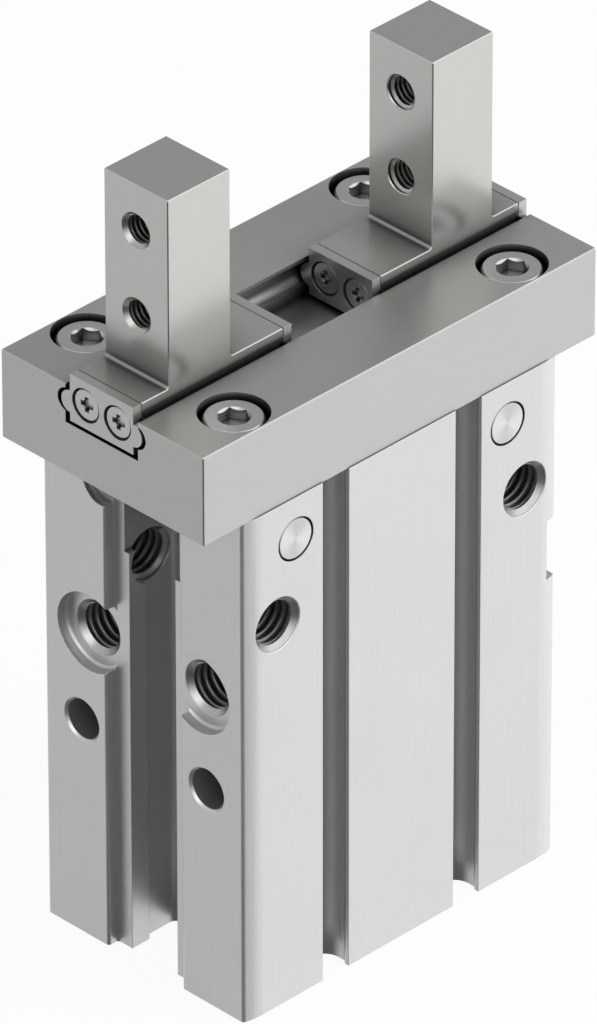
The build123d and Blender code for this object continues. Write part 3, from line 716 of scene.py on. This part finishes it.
class GRIPPER_OT_soft_finish(bpy.types.Operator):
    """Give the seals, bumpers, wipers, magnet and wear ring their finishes"""

    bl_idname = "gripper.soft_finish"
    bl_label = "Seal finish"

    def execute(self, context):
        rubber = finish("Greased rubber", (0.03, 0.03, 0.03), rough=0.5, scale=2500, tone=0.2,
                        bump=0.01, edge=0.05, wear=0.2)
        dress(rubber, *(nodes[name] for name in (
            "piston_seal", "rod_seal", "cover_seal", "upper_bumper", "lower_bumper")))
        dress(finish("Dark felt", (0.05, 0.05, 0.05), rough=0.85, scale=6000, tone=0.4, bump=0.05,
                     wear=0.1, specular=0.2), *both_hands("wipers"))
        dress(finish("Bonded magnet", (0.06, 0.06, 0.06), rough=0.6, scale=5000, tone=0.3),
              nodes["magnet_ring"])
        dress(finish("Wear ring resin", (0.72, 0.66, 0.5), rough=0.45, scale=3000, tone=0.06),
              nodes["wear_ring"])
        return {"FINISHED"}


def area_lamp(name, direction, distance, size, power):
    """A soft square lamp that looks at the middle of the gripper from the direction."""
    middle = Vector((0, 0, 60 * MM))
    way = Vector(direction).normalized()
    deselect_all()
    bpy.ops.object.light_add(type="AREA", location=middle + way * distance)
    lamp = bpy.context.object
    lamp.name = name
    lamp.rotation_mode = "QUATERNION"
    lamp.rotation_quaternion = way.to_track_quat("Z", "Y")
    lamp.data.shape = "SQUARE"
    lamp.data.size = size
    lamp.data.energy = power
    return lamp


def seen_ray(tree):
    """1 for camera, glossy and transmitted rays, which see the white studio, and 0 for the rest."""
    path = tree.nodes.new("ShaderNodeLightPath")
    glossy = math_node(tree, "MAXIMUM", path.outputs["Is Camera Ray"], path.outputs["Is Glossy Ray"])
    return math_node(tree, "MAXIMUM", glossy, path.outputs["Is Transmission Ray"])


def ramp(tree, value, starts, ends, low, high):
    """A smooth step from low to high as the value goes from starts to ends."""
    node = tree.nodes.new("ShaderNodeMapRange")
    node.interpolation_type = "SMOOTHSTEP"
    settings = {"Value": value, "From Min": starts, "From Max": ends, "To Min": low, "To Max": high}
    for label, part in settings.items():
        if isinstance(part, bpy.types.NodeSocket):
            tree.links.new(part, node.inputs[label])
        else:
            node.inputs[label].default_value = part
    return node.outputs[0]


def mirrored_room(tree, settings):
    """The room's brightness in each direction: a grey ceiling, white ends and a dim floor in front."""
    direction = tree.nodes.new("ShaderNodeTexCoord")
    parts = tree.nodes.new("ShaderNodeSeparateXYZ")
    tree.links.new(direction.outputs["Generated"], parts.inputs[0])
    height = parts.outputs["Z"]
    level = tree.nodes.new("ShaderNodeVectorMath")
    level.operation = "MULTIPLY"
    level.inputs[1].default_value = (1, 1, 0)
    tree.links.new(direction.outputs["Generated"], level.inputs[0])
    heading = tree.nodes.new("ShaderNodeVectorMath")
    heading.operation = "NORMALIZE"
    tree.links.new(level.outputs[0], heading.inputs[0])
    toward = []
    diagonal = sqrt(0.5)
    for way in ((-diagonal, -diagonal, 0), (diagonal, -diagonal, 0)):
        along = tree.nodes.new("ShaderNodeVectorMath")
        along.operation = "DOT_PRODUCT"
        along.inputs[1].default_value = way
        tree.links.new(heading.outputs[0], along.inputs[0])
        toward.append(along.outputs["Value"])
    # Heights are sines of the elevation, and front and right cosines of the turn from them.
    front, right = toward
    left_share = 0.57
    ends = math_node(tree, "MAXIMUM", right, math_node(tree, "MULTIPLY", right, -left_share))
    ceiling = ramp(tree, height, 0.15, 0.55, 1.0, settings.ceiling)
    softbox = ramp(tree, height, 0.05, 0.4, 1.0, settings.softbox)
    lit = ramp(tree, math_node(tree, "MAXIMUM", ends, front), 0.35, 0.85, ceiling, softbox)
    bright = ramp(tree, right, 0.0, 0.8, 1.0, settings.side)
    dim = math_node(tree, "MULTIPLY", bright, ramp(tree, front, 0.0, 0.62, 1.0, settings.front))
    low = ramp(tree, height, -0.3, 0.1, dim, 1.0)
    return math_node(tree, "MULTIPLY", lit, low)


class GRIPPER_OT_stage(bpy.types.Operator):
    """Set up the floor, the lamps, the surroundings and the camera"""

    bl_idname = "gripper.stage"
    bl_label = "Stage"

    def execute(self, context):
        settings = context.scene.gripper_studio
        deselect_all()
        floor_drop = 0.6 * MM
        bpy.ops.mesh.primitive_plane_add(size=8, location=(0, 0, -floor_drop))
        floor = context.object
        floor.name = "floor"
        paper = bpy.data.materials.new("White paper")
        paper.use_nodes = True
        tree = paper.node_tree
        shader = next(node for node in tree.nodes if node.type == "BSDF_PRINCIPLED")
        out = next(node for node in tree.nodes if node.type == "OUTPUT_MATERIAL")
        shader.inputs["Roughness"].default_value = 0.9
        shader.inputs["Base Color"].default_value = (0.85, 0.85, 0.85, 1)
        glow = tree.nodes.new("ShaderNodeEmission")
        blend = tree.nodes.new("ShaderNodeMixShader")
        white_share = 0.94
        part = math_node(tree, "MULTIPLY", seen_ray(tree), white_share)
        tree.links.new(part, blend.inputs[0])
        tree.links.new(shader.outputs[0], blend.inputs[1])
        tree.links.new(glow.outputs[0], blend.inputs[2])
        tree.links.new(blend.outputs[0], out.inputs["Surface"])
        dress(paper, floor)
        floor.visible_glossy = False

        world = bpy.data.worlds.new("Studio")
        context.scene.world = world
        world.use_nodes = True
        tree = world.node_tree
        sky = next(node for node in tree.nodes if node.type == "BACKGROUND")
        sky.inputs["Color"].default_value = (1, 1, 1, 1)
        around = mirrored_room(tree, settings)
        path = tree.nodes.new("ShaderNodeLightPath")
        seen = seen_ray(tree)
        mirrored = math_node(tree, "MULTIPLY", seen, around)
        direct = math_node(tree, "MAXIMUM", mirrored, path.outputs["Is Camera Ray"])
        rest = math_node(tree, "MULTIPLY", math_node(tree, "SUBTRACT", 1.0, seen), settings.ambient)
        tree.links.new(math_node(tree, "ADD", direct, rest), sky.inputs["Strength"])

        key = area_lamp("key", direction=(0.6, -1.0, 0.2), distance=1.2, size=1.0,
                        power=settings.key_power)
        key.visible_glossy = False
        area_lamp("fill", direction=(-1.0, -0.15, 0.4), distance=1.3, size=0.9,
                  power=settings.fill_power)
        area_lamp("overhead", direction=(0.1, 0.1, 1.0), distance=1.4, size=1.2,
                  power=settings.top_power)

        deselect_all()
        bpy.ops.object.camera_add()
        camera = context.object
        camera.data.sensor_width = 36
        camera.data.lens = 510.602
        camera.data.clip_start = 0.01
        camera.data.clip_end = 50
        azimuth, elevation, roll = radians(-44.921), radians(32.903), radians(-0.055)
        turn = Matrix.Rotation(azimuth, 4, "Z") @ Matrix.Rotation(pi / 2 - elevation, 4, "X")
        turn = turn @ Matrix.Rotation(roll, 4, "Z")
        middle = Vector((0, 0, 50 * MM))
        sideways, upwards, distance = -0.268 * MM, 7.871 * MM, 1944.36 * MM
        shift = turn @ Vector((sideways, upwards, distance))
        camera.matrix_world = Matrix.Translation(middle + shift) @ turn
        context.scene.camera = camera
        context.scene.view_settings.view_transform = "Standard"
        return {"FINISHED"}


OPERATORS = (
    GRIPPER_OT_housing_threads,
    GRIPPER_OT_finger_threads,
    GRIPPER_OT_housing_finish,
    GRIPPER_OT_steel_finish,
    GRIPPER_OT_fastener_finish,
    GRIPPER_OT_drive_finish,
    GRIPPER_OT_soft_finish,
    GRIPPER_OT_stage,
)


class GRIPPER_PT_sidebar(bpy.types.Panel):
    """Sizes, colours and the steps that build the gripper's looks"""

    bl_label = "Parallel gripper"
    bl_idname = "GRIPPER_PT_sidebar"
    bl_space_type = "VIEW_3D"
    bl_region_type = "UI"
    bl_category = "Gripper"

    def draw(self, context):
        for settings in (context.scene.gripper_threads, context.scene.gripper_colours,
                         context.scene.gripper_studio):
            box = self.layout.box()
            for name in settings.bl_rna.properties.keys():
                if name not in ("rna_type", "name"):
                    box.prop(settings, name)
        for operator in OPERATORS:
            self.layout.operator(operator.bl_idname)


CLASSES = (ThreadSizes, FinishColours, StudioSettings, *OPERATORS, GRIPPER_PT_sidebar)


def register():
    for each in CLASSES:
        bpy.utils.register_class(each)
    bpy.types.Scene.gripper_threads = bpy.props.PointerProperty(type=ThreadSizes)
    bpy.types.Scene.gripper_colours = bpy.props.PointerProperty(type=FinishColours)
    bpy.types.Scene.gripper_studio = bpy.props.PointerProperty(type=StudioSettings)


def unregister():
    del bpy.types.Scene.gripper_studio
    del bpy.types.Scene.gripper_colours
    del bpy.types.Scene.gripper_threads
    for each in reversed(CLASSES):
        bpy.utils.unregister_class(each)


def main():
    register()
    bpy.ops.gripper.housing_threads()
    bpy.ops.gripper.finger_threads()
    bpy.ops.gripper.housing_finish()
    bpy.ops.gripper.steel_finish()
    bpy.ops.gripper.fastener_finish()
    bpy.ops.gripper.drive_finish()
    bpy.ops.gripper.soft_finish()
    bpy.ops.gripper.stage()


if __name__ == "__main__":
    main()
